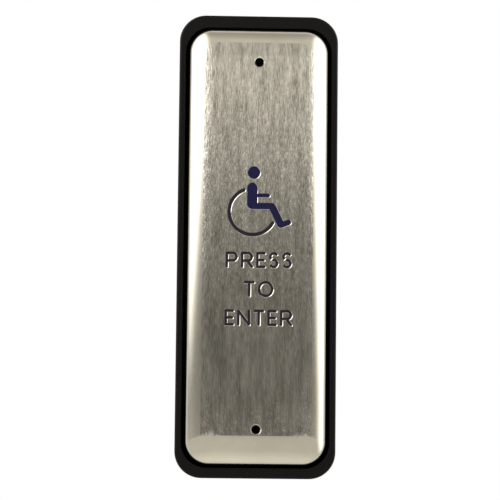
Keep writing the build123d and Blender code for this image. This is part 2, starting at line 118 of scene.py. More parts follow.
# ---------------------------------------------------------------- finishes
@dataclass(frozen=True)
class Finish:
    """A surface as a maker would order it, made into a node material.

    Attributes:
        name: What the surface is.
        colour: Its main colour.
        shade: The darker colour of its grain and blotches.
        roughness: From 0, a mirror, to 1, chalk.
        metallic: 1 for bare metal.
        grain: Size of the fine grain along X, Y and Z, in millimetres.
        relief: Height of the grain, in millimetres.
        blotch: Size of the broad variation along X, Y and Z, in millimetres.
        streak: How much of the shade the fine grain brings, from 0 to 1.
        cloud: How much of the shade the broad variation brings, from 0 to 1.
        polish: How far the roughness swings with the grain.
        ior: Index of refraction. A metal keeps the usual 1.5.
        specular: Strength of the mirror-like part of a surface that isn't metal.
        coat: Weight of a clear top layer.
    """

    name: str
    colour: str
    shade: str
    roughness: float
    metallic: float = 0.0
    grain: tuple[float, float, float] = (0.3, 0.3, 0.3)
    relief: float = 0.002
    blotch: tuple[float, float, float] = (8.0, 8.0, 8.0)
    streak: float = 0.5
    cloud: float = 0.5
    polish: float = 0.08
    ior: float = 1.5
    specular: float = 0.5
    coat: float = 0.0

    def material(self) -> bpy.types.Material:
        """Builds the material, or gives the one already built.

        Returns:
            The node material.
        """
        found = bpy.data.materials.get(self.name)
        if found:
            return found
        made = bpy.data.materials.new(self.name)
        made.use_nodes = True
        tree = made.node_tree
        tree.nodes.clear()
        place = add_node(tree, "ShaderNodeTexCoord").outputs["Object"]
        fine_place = add_node(tree, "ShaderNodeMapping", {
            "Vector": place, "Scale": [1 / (MM * g) for g in self.grain]})
        broad_place = add_node(tree, "ShaderNodeMapping", {
            "Vector": place, "Scale": [1 / (MM * b) for b in self.blotch]})
        fine = add_node(tree, "ShaderNodeTexNoise", {
            "Vector": fine_place.outputs[0], "Scale": 1.0, "Detail": 2.0, "Roughness": 0.6})
        broad = add_node(tree, "ShaderNodeTexNoise", {
            "Vector": broad_place.outputs[0], "Scale": 1.0, "Detail": 3.0, "Roughness": 0.5})
        streaks = add_node(tree, "ShaderNodeMapRange", {
            "Value": fine.outputs[0], "From Min": NOISE_LOW, "From Max": NOISE_HIGH,
            "To Min": 0.0, "To Max": self.streak})
        clouds = add_node(tree, "ShaderNodeMapRange", {
            "Value": broad.outputs[0], "From Min": NOISE_LOW, "From Max": NOISE_HIGH,
            "To Min": 0.0, "To Max": self.cloud})
        share = add_node(tree, "ShaderNodeMath", {
            0: streaks.outputs[0], 1: clouds.outputs[0]}, operation="ADD", use_clamp=True)
        tone = add_node(tree, "ShaderNodeValToRGB", {"Fac": share.outputs[0]},
                        stops=[(0.0, linear(self.colour)), (1.0, linear(self.shade))])
        gloss = add_node(tree, "ShaderNodeMapRange", {
            "Value": fine.outputs[0], "From Min": NOISE_LOW, "From Max": NOISE_HIGH,
            "To Min": self.roughness - self.polish, "To Max": self.roughness + self.polish})
        bump = add_node(tree, "ShaderNodeBump", {
            "Height": fine.outputs[0], "Distance": self.relief * MM, "Strength": 1.0})
        shader = add_node(tree, "ShaderNodeBsdfPrincipled", {
            "Base Color": tone.outputs[0], "Roughness": gloss.outputs[0],
            "Normal": bump.outputs[0], "Metallic": self.metallic, "IOR": self.ior,
            "Specular IOR Level": self.specular,
            "Coat Weight": self.coat, "Coat Roughness": COAT_ROUGHNESS})
        add_node(tree, "ShaderNodeOutputMaterial", {"Surface": shader.outputs[0]})
        return made


# Brushed 304 stainless: short upright scratches that sparkle where a lamp is near.
BRUSHED_STAINLESS = Finish("brushed_stainless", "E2DDD3", "8A857A", 0.13, 1.0,
                           grain=(0.3, 5.0, 2.2), relief=0.05, blotch=(1.2, 20.0, 9.0),
                           streak=0.6, cloud=0.5, polish=0.03)
# Stainless drawn over a form and tumbled: a soft even sheen with no lines in it.
DRAWN_STAINLESS = Finish("drawn_stainless", "CEC9BB", "C3BDAE", 0.14, 1.0,
                         grain=(0.5, 0.5, 0.5), relief=0.0004, streak=0.3, cloud=0.6, polish=0.02)
# Stainless cut by an engraving tool: bright edges.
CUT_STAINLESS = Finish("cut_stainless", "DCD7CC", "B9B3A6", 0.15, 1.0,
                       grain=(0.2, 0.2, 0.2), relief=0.0006, streak=0.4, cloud=0.2, polish=0.05)
# Stoved enamel rubbed into the engraving: deep navy with a low shine.
NAVY_ENAMEL = Finish("navy_enamel", "04023A", "02012A", 0.38, grain=(0.25, 0.25, 0.25),
                     relief=0.004, streak=0.5, cloud=0.4, polish=0.1, specular=0.25)
# The same enamel, darkened to violet brown in the narrow letters and the wheel: painted shade of their narrow
# grooves.
ENAMEL_WITH_PAINTED_SHADE = Finish("thin_navy_enamel", "130A26", "1C1016", 0.45, grain=(0.4, 0.4, 0.4),
                     relief=0.005, blotch=(1.5, 1.5, 1.5), streak=0.4, cloud=0.6, polish=0.1,
                     specular=0.25)
# ABS moulded against a spark-eroded tool: black, with a fine even grain and a dull sheen.
SPARKED_ABS = Finish("black_abs", "0A0806", "070605", 0.4, grain=(0.22, 0.22, 0.22),
                     relief=0.006, blotch=(14.0, 14.0, 14.0), streak=0.4, cloud=0.5, ior=1.53,
                     specular=0.12)
# EPDM sponge: dull dark grey with open pores.
EPDM_SPONGE = Finish("epdm_sponge", "2B2A29", "171717", 0.85, grain=(0.5, 0.5, 0.5),
                     relief=0.05, streak=0.7, cloud=0.3, ior=1.47)
# Moulded natural rubber: black with a faint grey bloom.
BLOOMED_RUBBER = Finish("moulded_rubber", "1D1C1C", "2F2E2D", 0.62, grain=(0.6, 0.6, 0.6),
                        relief=0.006, blotch=(5.0, 5.0, 5.0), streak=0.2, cloud=0.7, ior=1.52)
# Cast polyurethane: amber and smooth.
AMBER_URETHANE = Finish("cast_urethane", "9C6A26", "7C5018", 0.35, grain=(0.8, 0.8, 0.8),
                        relief=0.003, streak=0.2, cloud=0.6, coat=0.2)
# Glass-filled nylon: charcoal, with pale fibres drawn along the flow.
GLASS_NYLON = Finish("glass_filled_nylon", "33332F", "4A4943", 0.5, grain=(0.25, 0.25, 2.2),
                     relief=0.008, streak=0.5, cloud=0.4, ior=1.53)
# Turned acetal: milky white with a waxy shine.
TURNED_ACETAL = Finish("turned_acetal", "E9E6DC", "D9D5C8", 0.32, grain=(1.5, 0.12, 1.5),
                       relief=0.003, streak=0.3, cloud=0.4, ior=1.48)
# Zinc-plated sheet with clear passivation: cool grey with pale spangles.
ZINC_SHEET = Finish("zinc_plated_sheet", "C3C7CB", "9CA3A8", 0.34, 1.0, grain=(1.1, 1.1, 1.1),
                    relief=0.003, blotch=(6.0, 6.0, 6.0), streak=0.6, cloud=0.4, polish=0.1)
# Ground silver steel: fine rings round each post.
GROUND_STEEL = Finish("ground_steel", "C9C8C4", "A9A8A5", 0.22, 1.0, grain=(2.0, 0.1, 2.0),
                      relief=0.0012, streak=0.6, cloud=0.2, polish=0.08)
# Stainless screw stock, headed and tumbled: even grey with small dings.
SCREW_STEEL = Finish("tumbled_screw_steel", "BEBAB2", "8F8B84", 0.3, 1.0, grain=(0.35, 0.35, 0.35),
                     relief=0.004, blotch=(2.0, 2.0, 2.0), streak=0.5, cloud=0.5, polish=0.12)
# Alloy steel with black oxide, with a faint oily shine, made nearly black partly as painted shade for the
# deep holes that it sits in.
BLACK_OXIDE_AND_HOLE_SHADE = Finish("black_oxide_steel", "4A4743", "2E2C2A", 0.42, 1.0, grain=(0.3, 0.3, 0.3),
                     relief=0.006, blotch=(1.5, 1.5, 1.5), streak=0.5, cloud=0.4, polish=0.1)
# Free-cutting brass, knurled and left bare: warm, dulled by handling.
BARE_BRASS = Finish("bare_brass", "C8A45A", "96743A", 0.33, 1.0, grain=(0.4, 0.4, 0.4),
                    relief=0.004, blotch=(2.5, 2.5, 2.5), streak=0.4, cloud=0.5, polish=0.1)
# Patented spring wire: dark bright steel with draw lines.
SPRING_WIRE = Finish("drawn_spring_wire", "9C9A96", "6E6B67", 0.27, 1.0, grain=(0.15, 0.15, 0.15),
                     relief=0.0015, streak=0.5, cloud=0.3, polish=0.08)
# Phenolic moulding: near black, glossier than the box.
PHENOLIC = Finish("moulded_phenolic", "20201F", "2C2A27", 0.3, grain=(0.3, 0.3, 0.3),
                  relief=0.003, streak=0.3, cloud=0.4, ior=1.6)
# Polyester button: brick red.
RED_POLYESTER = Finish("red_polyester", "A5281E", "7F1C15", 0.35, grain=(0.3, 0.3, 0.3),
                       relief=0.002, streak=0.3, cloud=0.4, ior=1.57)
# Rolled beryllium copper: rose metal with faint rolling lines.
ROLLED_COPPER = Finish("rolled_copper", "C98A62", "A56A45", 0.28, 1.0, grain=(0.15, 1.0, 3.0),
                       relief=0.0015, streak=0.5, cloud=0.4, polish=0.08)
# Fine silver contact: white metal, a little tarnished.
CONTACT_SILVER = Finish("contact_silver", "DAD8D2", "A9A59A", 0.25, 1.0, grain=(0.2, 0.2, 0.2),
                        relief=0.002, blotch=(1.0, 1.0, 1.0), streak=0.3, cloud=0.6)
# Matt studio board.
STUDIO_BOARD = Finish("studio_board", "EFEEEA", "E8E7E2", 0.8, grain=(3.0, 3.0, 3.0),
                      relief=0.02, blotch=(120.0, 120.0, 120.0), streak=0.2, cloud=0.5)

SLOT_FINISH = {
    "black_moulding": SPARKED_ABS,
    "gasket_rubber": EPDM_SPONGE,
    "grommet_rubber": BLOOMED_RUBBER,
    "bumper_rubber": AMBER_URETHANE,
    "face_stainless": DRAWN_STAINLESS,
    "blue_inlay": NAVY_ENAMEL,
    "carrier_moulding": GLASS_NYLON,
    "bush_acetal": TURNED_ACETAL,
    "zinc_sheet": ZINC_SHEET,
    "post_steel": GROUND_STEEL,
    "fastener_steel": SCREW_STEEL,
    "insert_brass": BARE_BRASS,
    "spring_steel": SPRING_WIRE,
    "switch_moulding": PHENOLIC,
    "plunger_moulding": RED_POLYESTER,
    "contact_copper": ROLLED_COPPER,
    "contact_silver": CONTACT_SILVER,
}


# ---------------------------------------------------------------- the bench
class Kind(Enum):
    """What a pick selects."""

    FACE = "faces"
    EDGE = "edges"
    VERT = "verts"


def clear_bench() -> None:
    """Leaves edit mode and deselects everything."""
    if bpy.context.object and bpy.context.object.mode != "OBJECT":
        bpy.ops.object.mode_set(mode="OBJECT")
    bpy.ops.object.select_all(action="DESELECT")


def take(piece: bpy.types.Object) -> None:
    """Makes one object the only selected and active one.

    Args:
        piece: The object.
    """
    clear_bench()
    piece.select_set(True)
    bpy.context.view_layer.objects.active = piece


@contextmanager
def blank(name: str) -> Iterator[bpy.types.Object]:
    """Opens an empty mesh in edit mode, for primitives to be added to.

    Args:
        name: The object's name.

    Yields:
        The new object.
    """
    clear_bench()
    bpy.ops.object.add(type="MESH", enter_editmode=True, location=(0, 0, 0))
    piece = bpy.context.object
    piece.name = piece.data.name = name
    yield piece
    bpy.ops.object.mode_set(mode="OBJECT")


@contextmanager
def editing(piece: bpy.types.Object) -> Iterator[None]:
    """Opens a finished mesh in edit mode, and leaves it at the end.

    Args:
        piece: The mesh.

    Yields:
        Nothing.
    """
    take(piece)
    bpy.ops.object.mode_set(mode="EDIT")
    yield
    bpy.ops.object.mode_set(mode="OBJECT")


def pick(piece: bpy.types.Object, kind: Kind, test: Callable[..., bool]) -> None:
    """Selects, in edit mode, just the faces, edges or vertices that pass a test.

    Args:
        piece: The mesh that is open.
        kind: What to select.
        test: Takes one element and says whether it is wanted.
    """
    bpy.ops.mesh.select_mode(type=kind.name)
    shape = bmesh.from_edit_mesh(piece.data)
    chosen = [e for e in getattr(shape, kind.value) if test(e)]
    bpy.ops.mesh.select_all(action="DESELECT")
    for element in chosen:
        element.select_set(True)
    shape.select_flush_mode()
    bmesh.update_edit_mesh(piece.data)


def at_depth(depth: float) -> Callable[..., bool]:
    """A test for edges and faces that lie wholly at one depth, in millimetres."""
    return lambda e: all(abs(v.co.y + depth * MM) < SAME_DEPTH for v in e.verts)


def spot(x: float, depth: float, z: float) -> Vector:
    """A point in metres from millimetres right, out from the wall and up."""
    return Vector((x, -depth, z)) * MM


def sink(distance: float) -> None:
    """Extrudes what is selected towards the wall, by a distance in millimetres."""
    bpy.ops.mesh.extrude_region_move(TRANSFORM_OT_translate={"value": (0, distance * MM, 0)})


def face_outwards() -> None:
    """Turns every normal of the open mesh outwards."""
    bpy.ops.mesh.select_all(action="SELECT")
    bpy.ops.mesh.normals_make_consistent(inside=False)


def cut(piece: bpy.types.Object, tool: bpy.types.Object, operation: str = "DIFFERENCE",
        tangled: bool = False) -> None:
    """Applies a boolean and throws the tool away.

    Args:
        piece: The mesh that is cut.
        tool: The mesh that cuts it.
        operation: DIFFERENCE, UNION or INTERSECT.
        tangled: True where the tool's own solids overlap.
    """
    take(piece)
    modifier = piece.modifiers.new("cut", "BOOLEAN")
    modifier.operation = operation
    modifier.solver = "EXACT"
    modifier.use_self = tangled
    modifier.material_mode = "TRANSFER"
    modifier.object = tool
    bpy.ops.object.modifier_apply(modifier=modifier.name)
    bpy.data.objects.remove(tool)


def smooth(piece: bpy.types.Object, degrees: float = 32.0) -> None:
    """Shades a mesh smooth, with hard edges past an angle."""
    take(piece)
    bpy.ops.object.shade_smooth_by_angle(angle=math.radians(degrees))


def dress(piece: bpy.types.Object, *finishes: Finish) -> None:
    """Gives a mesh one material slot for each finish.

    Args:
        piece: The mesh.
        *finishes: The finishes, in the order of the slots.
    """
    piece.data.materials.clear()
    for finish in finishes:
        piece.data.materials.append(finish.material())


@dataclass(frozen=True)
class Section:
    """A rounded rectangle across a lofted shape, facing the wall. All in millimetres."""

    width: float
    height: float
    corner: float
    depth: float

    def draw(self, steps: int) -> None:
        """Adds the outline, edges only, to the open mesh.

        Args:
            steps: Edges in each round corner.
        """
        middle = spot(0, self.depth, 0)
        bpy.ops.mesh.primitive_plane_add(size=1, location=middle, rotation=(math.pi / 2, 0, 0))
        bpy.ops.transform.resize(value=(self.width * MM, 1, self.height * MM), center_override=middle)
        bpy.ops.mesh.bevel(offset=self.corner * MM, segments=steps, affect="VERTICES", clamp_overlap=False)
        bpy.ops.mesh.delete(type="ONLY_FACE")


def loft(name: str, sections: Sequence[Section], steps: int = 12) -> bpy.types.Object:
    """Bridges a stack of sections into one closed solid.

    Args:
        name: The object's name.
        sections: The sections, each at a depth of its own.
        steps: Edges in each round corner.

    Returns:
        The solid, flat shaded.
    """
    with blank(name) as piece:
        for section in sections:
            section.draw(steps)
        for near, far in zip(sections, sections[1:]):
            ends = (at_depth(near.depth), at_depth(far.depth))
            pick(piece, Kind.EDGE, lambda e: any(end(e) for end in ends))
            bpy.ops.mesh.bridge_edge_loops()
        for end in (sections[0], sections[-1]):
            pick(piece, Kind.EDGE, at_depth(end.depth))
            bpy.ops.mesh.edge_face_add()
        face_outwards()
    return piece


# ---------------------------------------------------------------- strokes of the marks
class Stroke:
    """One stroke of a mark, drawn flat in the open mesh, facing out from the wall."""

    DISC_SIDES = 40
    TIP_SIDES = 24
    RING_SIDES = 72
    SMALL_RING_SIDES = 36

    def draw(self, piece: bpy.types.Object, grow: float, depth: float) -> None:
        """Adds the stroke.

        Args:
            piece: The open mesh.
            grow: How much wider each side is than the stroke, in millimetres.
            depth: Where it lies, in millimetres.
        """
        raise NotImplementedError

    @staticmethod
    def disc(middle: Vector, radius: float, sides: int, turn: float = 0.0) -> None:
        """Adds a filled disc, its first corner turned from +X towards +Z.

        Args:
            middle: Its centre, in metres.
            radius: Its radius, in millimetres.
            sides: Edges round it.
            turn: Angle of the first corner, in radians.
        """
        bpy.ops.mesh.primitive_circle_add(vertices=sides, radius=radius * MM, fill_type="NGON",
                                          location=middle, rotation=(math.pi / 2, -turn, 0))


@dataclass(frozen=True)
class Dot(Stroke):
    """A filled disc."""

    centre: Point
    radius: float

    def draw(self, piece: bpy.types.Object, grow: float, depth: float) -> None:
        """Adds the disc.

        Args:
            piece: The open mesh; not used.
            grow: How much wider each side is than the stroke, in millimetres.
            depth: Where it lies, in millimetres.
        """
        self.disc(spot(self.centre[0], depth, self.centre[1]), self.radius + grow,
                  self.DISC_SIDES)


@dataclass(frozen=True)
class Bar(Stroke):
    """A straight stroke with round ends."""

    start: Point
    end: Point
    width: float

    def draw(self, piece: bpy.types.Object, grow: float, depth: float) -> None:
        """Adds a disc and pulls its far half out to the other end.

        Args:
            piece: The open mesh.
            grow: How much wider each side is than the stroke, in millimetres.
            depth: Where it lies, in millimetres.
        """
        sides = self.TIP_SIDES
        first, last = (spot(x, depth, z) for x, z in (self.start, self.end))
        along = last - first
        turn = math.atan2(along.z, along.x) + math.pi / sides
        self.disc(first, (self.width / 2 + grow) / math.cos(math.pi / sides), sides, turn)
        pick(piece, Kind.VERT, lambda v: v.select and (v.co - first).dot(along) > 0)
        bpy.ops.transform.translate(value=along)


@dataclass(frozen=True)
class Bow(Stroke):
    """A stroke along a circle with round ends, its angles in degrees from +X towards +Z."""

    centre: Point
    radius: float
    start: float
    sweep: float
    width: float

    def draw(self, piece: bpy.types.Object, grow: float, depth: float) -> None:
        """Adds a disc, insets it to a ring and deletes what the stroke doesn't sweep.

        Args:
            piece: The open mesh.
            grow: How much wider each side is than the stroke, in millimetres.
            depth: Where it lies, in millimetres.
        """
        sides = self.RING_SIDES if self.radius > 2 else self.SMALL_RING_SIDES
        middle = spot(self.centre[0], depth, self.centre[1])
        half = self.width / 2 + grow
        self.disc(middle, self.radius + half, sides, math.radians(self.start))
        bpy.ops.mesh.inset(thickness=2 * half * MM)
        bpy.ops.mesh.delete(type="FACE")

        def angle(face: bmesh.types.BMFace) -> float:
            """Degrees from the stroke's start to the middle of a face."""
            arm = face.calc_center_median() - middle
            return (math.degrees(math.atan2(arm.z, arm.x)) - self.start) % 360

        def spare(face: bmesh.types.BMFace) -> bool:
            """Whether a face of this ring lies past the stroke's end."""
            reach = (face.calc_center_median() - middle).length
            return abs(reach - self.radius * MM) < half * MM and angle(face) > self.sweep

        pick(piece, Kind.FACE, lambda f: len(f.verts) == 4 and spare(f))
        bpy.ops.mesh.delete(type="FACE")
        for degrees in (self.start, self.start + self.sweep):
            way = math.radians(degrees)
            tip = middle + Vector((math.cos(way), 0, math.sin(way))) * self.radius * MM
            self.disc(tip, half, self.TIP_SIDES)


@dataclass(frozen=True)
class Oval(Stroke):
    """A closed elliptical stroke."""

    centre: Point
    across: float
    tall: float
    width: float

    def draw(self, piece: bpy.types.Object, grow: float, depth: float) -> None:
        """Adds a disc, stretches it, insets it to a ring and opens the middle.

        Args:
            piece: The open mesh; not used.
            grow: How much wider each side is than the stroke, in millimetres.
            depth: Where it lies, in millimetres.
        """
        middle = spot(self.centre[0], depth, self.centre[1])
        full = self.width + 2 * grow
        self.disc(middle, (self.across + full) / 2, self.DISC_SIDES)
        stretch = (self.tall + full) / (self.across + full)
        bpy.ops.transform.resize(value=(1, 1, stretch), center_override=middle)
        bpy.ops.mesh.inset(thickness=full * MM)
        bpy.ops.mesh.delete(type="FACE")


@dataclass(frozen=True)
class Lettering:
    """Plain single-stroke capitals with round ends."""

    height: float = 4.43
    stroke: float = 0.68
    gap: float = 0.87

    def letter(self, name: str) -> tuple[list[Stroke], float]:
        """One capital, its foot line at z = 0.

        Args:
            name: The letter.

        Returns:
            Its strokes and its width between stroke centres.
        """
        w = self.stroke
        h = self.height - w
        bowl = 1.05
        stem = Bar((0, 0), (0, h), w)
        if name in "PR":
            out = 1.6
            waist = h - 2 * bowl
            strokes = [stem, Bar((0, h), (out, h), w), Bar((0, waist), (out, waist), w),
                       Bow((out, h - bowl), bowl, -90, 180, w)]
            leg = [Bar((1.4, waist), (2.7, 0), w)] if name == "R" else []
            return strokes + leg, out + bowl
        if name == "E":
            arms = [Bar((0, level), (reach, level), w)
                    for level, reach in ((0, 1.9), (h / 2, 1.7), (h, 1.9))]
            return [stem, *arms], 1.9
        if name == "S":
            turn = h / 4
            return [Bow((turn + 0.1, h - turn), turn, 40, 230, w),
                    Bow((turn + 0.1, turn), turn, -140, 230, w)], 2.1
        if name == "T":
            return [Bar((0, h), (2.3, h), w), Bar((1.15, 0), (1.15, h), w)], 2.3
        if name == "O":
            return [Oval((1.8, h / 2), 3.6, h, w)], 3.6
        return [stem, Bar((0, h), (2.9, 0), w), Bar((2.9, 0), (2.9, h), w)], 2.9

    def word(self, text: str, foot: float) -> list[Stroke]:
        """A word centred on x = 0.

        Args:
            text: Its capitals.
            foot: Height of its foot line, in millimetres.

        Returns:
            All its strokes.
        """
        letters = [self.letter(name) for name in text]
        pitch = self.stroke + self.gap
        x = -(sum(width for _, width in letters) + pitch * (len(text) - 1)) / 2
        strokes = []
        for shapes, width in letters:
            strokes += [self.moved(s, x, foot + self.stroke / 2) for s in shapes]
            x += width + pitch
        return strokes

    @staticmethod
    def moved(stroke: Stroke, right: float, up: float) -> Stroke:
        """Moves a stroke.

        Args:
            stroke: The stroke, which stays as it is.
            right: How far to the right, in millimetres.
            up: How far up, in millimetres.

        Returns:
            A new stroke.
        """
        places = {name: (value[0] + right, value[1] + up)
                  for name, value in vars(stroke).items() if isinstance(value, tuple)}
        return type(stroke)(**{**vars(stroke), **places})


# ---------------------------------------------------------------- the face
@dataclass
class FacePlate:
    """The pillowed stainless plate and the enamel let into it."""

    width: float = 38.8
    height: float = 121.0
    corner: float = 6.5
    corner_loss: float = 0.58
    sheet: float = 1.5
    run: float = 8.0
    drop: float = 4.6
    face: float = 30.0
    back: float = 21.5
    hole: float = 2.4
    hole_chamfer: float = 0.3
    hole_z: float = POST_Z
    inlay: float = 0.35
    fill: float = 0.2
    ease: float = 0.02
    edge: float = 0.1
    throw: float = 0.5
    border: float = 0.35
    brushed: float = 0.14
    marks: Point = (0.4, -0.5)
    legend: tuple[tuple[str, float], ...] = (("PRESS", -6.1), ("TO", -14.1), ("ENTER", -22.0))
    lettering: Lettering = field(default_factory=Lettering)

    def pillow(self, name: str, inset: float, back: float) -> bpy.types.Object:
        """A solid whose front edge rolls over in a quarter ellipse.

        Args:
            name: The object's name.
            inset: How far inside the plate's outline it starts.
            back: Depth of its back face.

        Returns:
            The solid.
        """
        steps = 16
        run, drop = self.run - inset, self.drop - inset
        spring_line = self.face - self.drop
        sections = [self.section(inset, back)]
        for i in range(steps + 1):
            angle = math.pi / 2 * i / steps
            sections.append(self.section(self.run - run * math.cos(angle),
                                         spring_line + drop * math.sin(angle)))
        return loft(name, sections)

    def section(self, inset: float, depth: float) -> Section:
        """The plate's outline drawn in by an inset, at a depth."""
        return Section(self.width - 2 * inset, self.height - 2 * inset,
                       self.corner - inset * self.corner_loss, depth)

    def pictogram(self) -> list[Stroke]:
        """A person sitting in a wheelchair, seen from the side and facing right.

        Returns:
            The strokes, the wheel last.
        """
        drawn = [
            Dot((-1.6, 20.3), 1.72),
            Bar((-2.0, 16.1), (-2.0, 11.6), 2.8),
            Bar((-2.0, 11.05), (3.5, 11.05), 1.7),
            Bar((3.6, 10.7), (5.9, 6.1), 2.0),
            Bar((6.3, 6.0), (8.0, 6.6), 1.5),
            Bar((-1.6, 14.0), (2.4, 14.0), 1.0),
            Bow((-1.95, 9.5), 6.4, 112, 219, 0.95),
        ]
        return [Lettering.moved(stroke, *self.marks) for stroke in drawn]

    def words(self) -> list[Stroke]:
        """The whole legend.

        Returns:
            Its strokes.
        """
        drawn = [s for text, foot in self.legend for s in self.lettering.word(text, foot)]
        return [Lettering.moved(stroke, *self.marks) for stroke in drawn]

    def engraver(self, strokes: Iterable[Stroke]) -> bpy.types.Object:
        """The tool that cuts strokes into the face, with a chamfer thrown to the lower right.

        Args:
            strokes: What it cuts.

        Returns:
            A mesh of one closed solid for each stroke.
        """
        clear = 0.4
        throw = Vector((-1, 0, 1)) * self.edge * self.throw * MM
        with blank("engraver") as tool:
            for stroke in strokes:
                stroke.draw(tool, self.edge, self.face + clear)
            bpy.ops.mesh.select_all(action="SELECT")
            bpy.ops.transform.translate(value=-throw)
            bpy.ops.mesh.select_mode(type="FACE")
            bpy.ops.mesh.select_all(action="SELECT")
            sink(clear)
            face_outwards()
            pick(tool, Kind.FACE, at_depth(self.face))
            bpy.ops.mesh.inset(thickness=self.edge * MM, depth=self.edge * MM)
            bpy.ops.transform.translate(value=throw)
            sink(self.inlay - self.edge)
            face_outwards()
        dress(tool, CUT_STAINLESS)
        return tool

    def drill(self, z: float) -> bpy.types.Object:
        """The tool that makes one hole, with a countersink at the surface.

        Args:
            z: Height of its axis.

        Returns:
            A closed solid.
        """
        sides, clear = 40, 1.0
        with blank("drill") as tool:
            Stroke.disc(spot(0, self.face + clear, z), self.hole / 2 + self.hole_chamfer, sides)
            sink(clear)
            face_outwards()
            pick(tool, Kind.FACE, at_depth(self.face))
            bpy.ops.mesh.inset(thickness=self.hole_chamfer * MM, depth=self.hole_chamfer * MM)
            sink(self.sheet + clear - self.hole_chamfer)
            face_outwards()
        dress(tool, CUT_STAINLESS)
        return tool

    def plate(self) -> bpy.types.Object:
        """Builds the plate: pillow, bordered flat, engraving, holes and hollow back.

        Returns:
            The plate.
        """
        piece = self.pillow("face_plate_pressed", 0.0, self.back)
        dress(piece, DRAWN_STAINLESS, BRUSHED_STAINLESS, CUT_STAINLESS)
        with editing(piece):
            pick(piece, Kind.FACE, at_depth(self.face))
            bpy.ops.mesh.inset(thickness=self.border * MM)
            edge = -(self.face - self.brushed * self.drop) * MM
            foot = -(self.height / 2 - self.run) * MM
            pick(piece, Kind.FACE, lambda f: f.calc_center_median().y < edge
                 and f.calc_center_median().z > foot)
            piece.active_material_index = 1
            bpy.ops.object.material_slot_assign()
        tool = self.engraver([*self.pictogram(), *self.words()])
        drills = [self.drill(z) for z in (-self.hole_z, self.hole_z)]
        take(tool)
        for drill in drills:
            drill.select_set(True)
        bpy.ops.object.join()
        cut(piece, tool, tangled=True)
        hollow = self.pillow("hollow", self.sheet, self.back - 1)
        dress(hollow, DRAWN_STAINLESS)
        cut(piece, hollow)
        smooth(piece)
        with editing(piece):
            pick(piece, Kind.FACE, at_depth(self.face))
            bpy.ops.mesh.faces_shade_flat()
        return piece

    def paint(self, name: str, strokes: Iterable[Stroke], finish: Finish) -> bpy.types.Object:
        """Enamel lying in the bottom of the engraving.

        Args:
            name: The piece's name.
            strokes: The strokes that it fills.
            finish: Its finish.

        Returns:
            One mesh of solids that don't overlap.
        """
        front = self.face - self.inlay + self.fill
        with blank(name + "_strokes") as drawn:
            for stroke in strokes:
                stroke.draw(drawn, -self.ease, front + self.fill)
            bpy.ops.mesh.select_mode(type="FACE")
            bpy.ops.mesh.select_all(action="SELECT")
            sink(3 * self.fill)
            face_outwards()
        flat = self.section(self.run, 0)
        piece = loft(name, [Section(flat.width, flat.height, flat.corner, depth)
                            for depth in (front - self.fill, front)])
        cut(piece, drawn, "INTERSECT", tangled=True)
        dress(piece, finish)
        smooth(piece)
        return piece

    def build(self) -> None:
        """Builds the plate and its enamel, and lets them stand for their CAD nodes."""
        plate = self.plate()
        seat(plate, "push_face", "face_stainless", "face_plate")
        *figure, wheel = self.pictogram()
        for name, strokes, finish, node in (
                ("figure_enamel", figure, NAVY_ENAMEL, "pictogram_fill"),
                # The wheel and the legend take the darker enamel, painted shade for their narrow grooves.
                ("wheel_enamel", [wheel], ENAMEL_WITH_PAINTED_SHADE, "pictogram_fill"),
                ("legend_enamel", self.words(), ENAMEL_WITH_PAINTED_SHADE, "legend_fill")):
            seat(self.paint(name, strokes, finish), "push_face", "blue_inlay", node)


def seat(piece: bpy.types.Object, body: str, slot: str, *nodes: str) -> None:
    """Puts a finished piece on its body in place of the CAD nodes that it stands for.

    Args:
        piece: The finished piece.
        body: The CAD body that it moves with.
        slot: The record's material slot; not used.
        *nodes: The CAD nodes that it replaces.
    """
    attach(piece, body)
    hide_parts(*nodes)
    log.info("%s: %d faces on %s", piece.name, len(piece.data.polygons), body)


